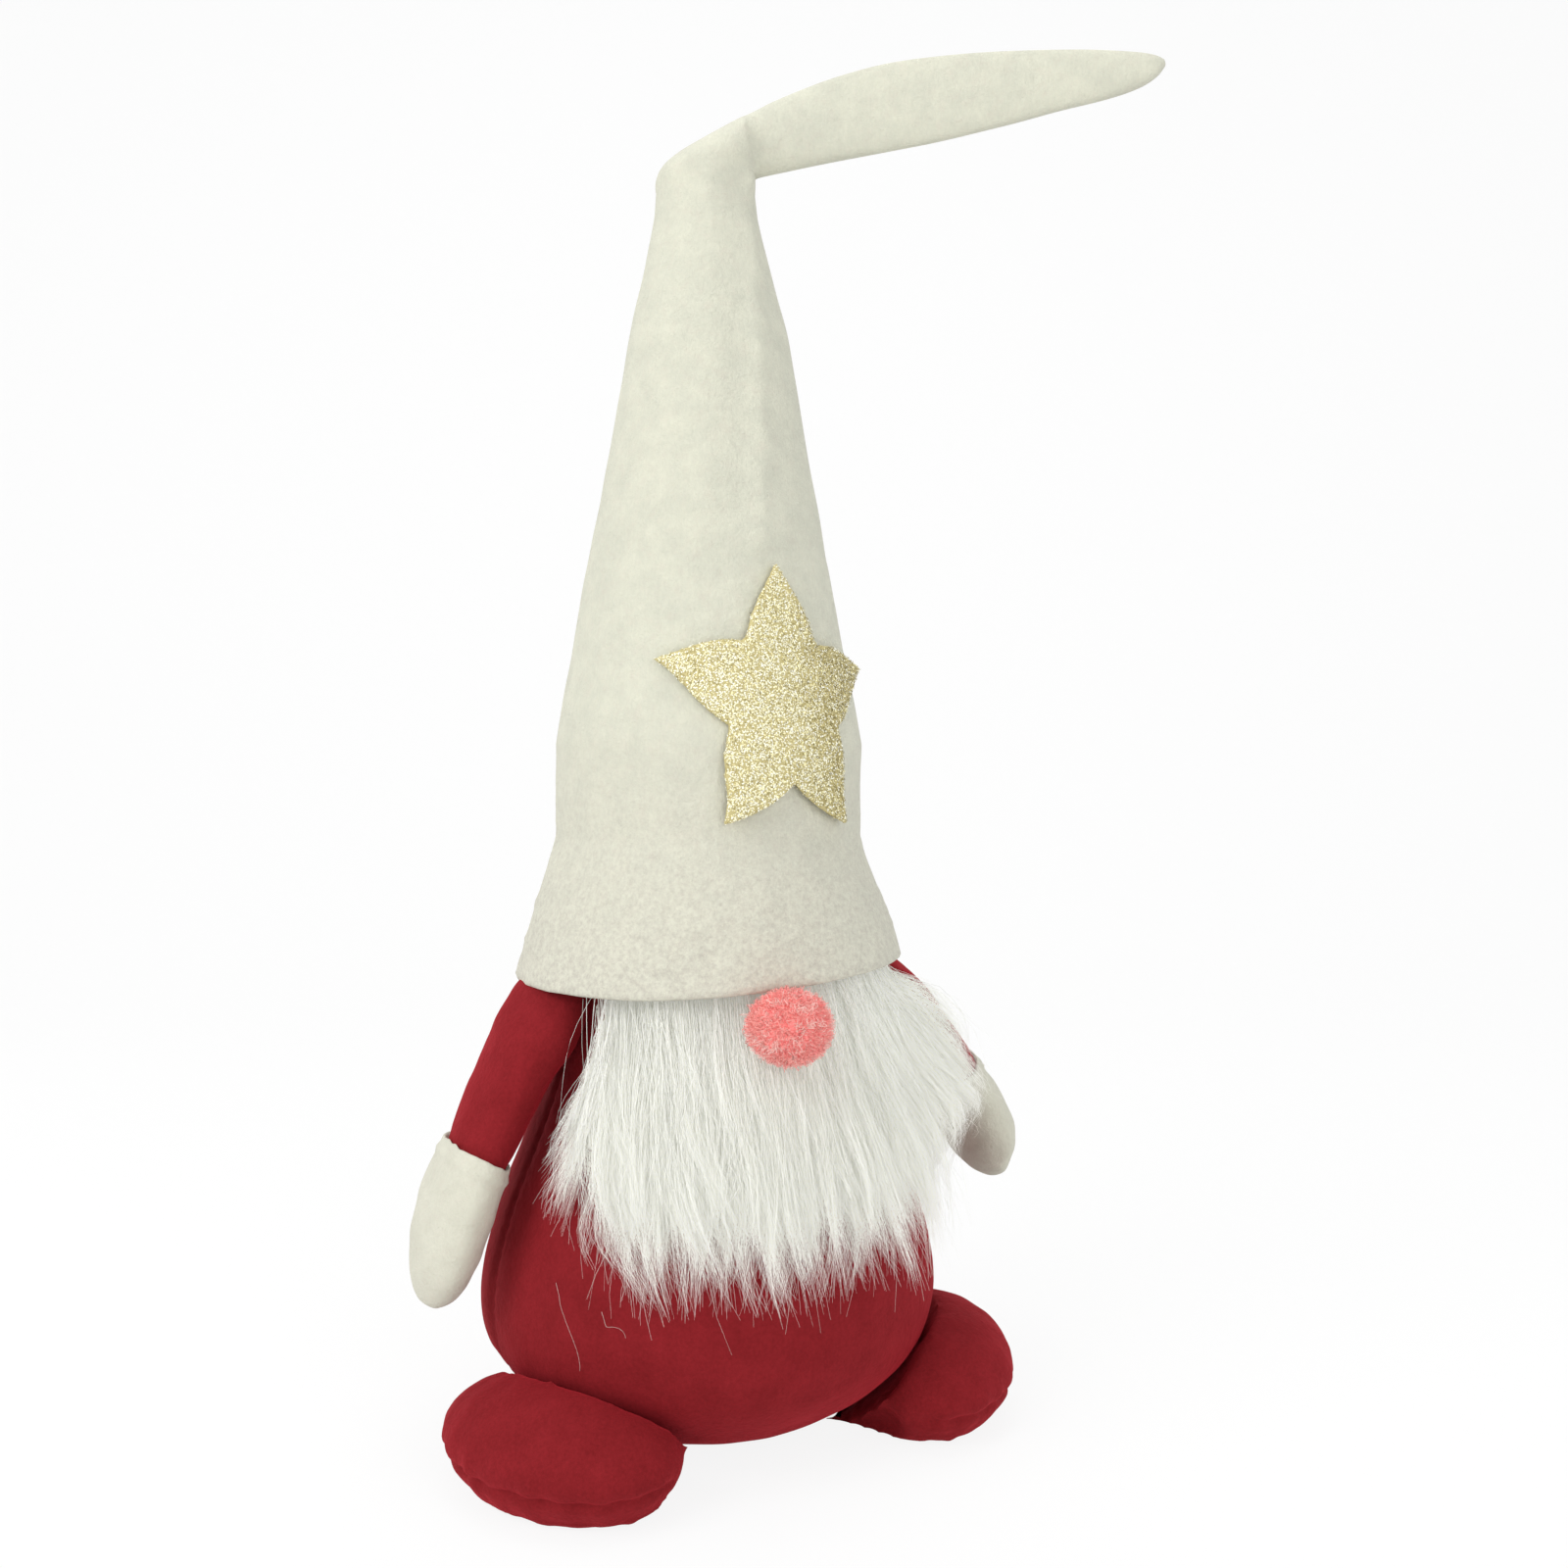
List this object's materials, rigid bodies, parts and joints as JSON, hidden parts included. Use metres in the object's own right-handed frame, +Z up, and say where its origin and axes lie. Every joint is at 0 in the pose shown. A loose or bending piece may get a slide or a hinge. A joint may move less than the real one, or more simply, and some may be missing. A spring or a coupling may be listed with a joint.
{
  "type": "garden gnome",
  "caption": "Soft stuffed gnome with a tall folded felt hat, fur beard, pompom nose, two hinged arms and two splayed feet.",
  "frame": {"origin": "centre of the flat base, on the surface it stands on", "axes": "+Z up, the gnome faces -Y, +X is the gnome's left"},
  "size_m": [0.2546, 0.1693, 0.4791],
  "materials": {
    "red_fleece": "matte",
    "cream_felt": "matte",
    "fibre_filling": "matte",
    "cream_thread": "matte",
    "bag_cloth": "matte",
    "pellets": "matte",
    "beard_backing": "matte",
    "white_hair": "matte",
    "coral_pompom": "matte",
    "glitter_foam": "satin",
    "steel_wire": "satin"
  },
  "bodies": {
    "body": {"body_front_panel": "red_fleece", "body_back_panel": "red_fleece", "base_panel": "red_fleece", "body_stuffing": "fibre_filling", "weight_bag": "bag_cloth", "weight_pellets": "pellets", "right_foot_upper": "red_fleece", "right_foot_sole": "red_fleece", "right_foot_stuffing": "fibre_filling", "left_foot_upper": "red_fleece", "left_foot_sole": "red_fleece", "left_foot_stuffing": "fibre_filling", "beard_backing": "beard_backing", "beard_pile": "white_hair", "nose_pompom": "coral_pompom", "hat_cone": "cream_felt", "hat_stuffing": "fibre_filling", "hat_wire": "steel_wire", "star": "glitter_foam", "hat_fold": "cream_felt"},
    "hat_tip": {"hat_tip": "cream_felt", "tip_wire": "steel_wire"},
    "right_arm": {"right_sleeve_outer": "red_fleece", "right_sleeve_inner": "red_fleece", "right_mitten_outer": "cream_felt", "right_mitten_inner": "cream_felt", "right_arm_stuffing": "fibre_filling", "right_cuff_stitches": "cream_thread"},
    "left_arm": {"left_sleeve_outer": "red_fleece", "left_sleeve_inner": "red_fleece", "left_mitten_outer": "cream_felt", "left_mitten_inner": "cream_felt", "left_arm_stuffing": "fibre_filling", "left_cuff_stitches": "cream_thread"}
  },
  "joints": [
    {"name": "hat_tip_bend", "type": "hinge", "parent": "body", "child": "hat_tip", "pos_m": [0, 0, 0.44], "axis": [0.454, 0.891, 0], "range_deg": [-68, 30], "deforming": ["hat_fold"]},
    {"name": "right_arm_raise", "type": "hinge", "parent": "body", "child": "right_arm", "pos_m": [-0.057, 0, 0.145], "axis": [0, 1, 0], "range_deg": [0, 43]},
    {"name": "left_arm_raise", "type": "hinge", "parent": "body", "child": "left_arm", "pos_m": [0.057, 0, 0.145], "axis": [0, -1, 0], "range_deg": [-12, 32]}
  ]
}
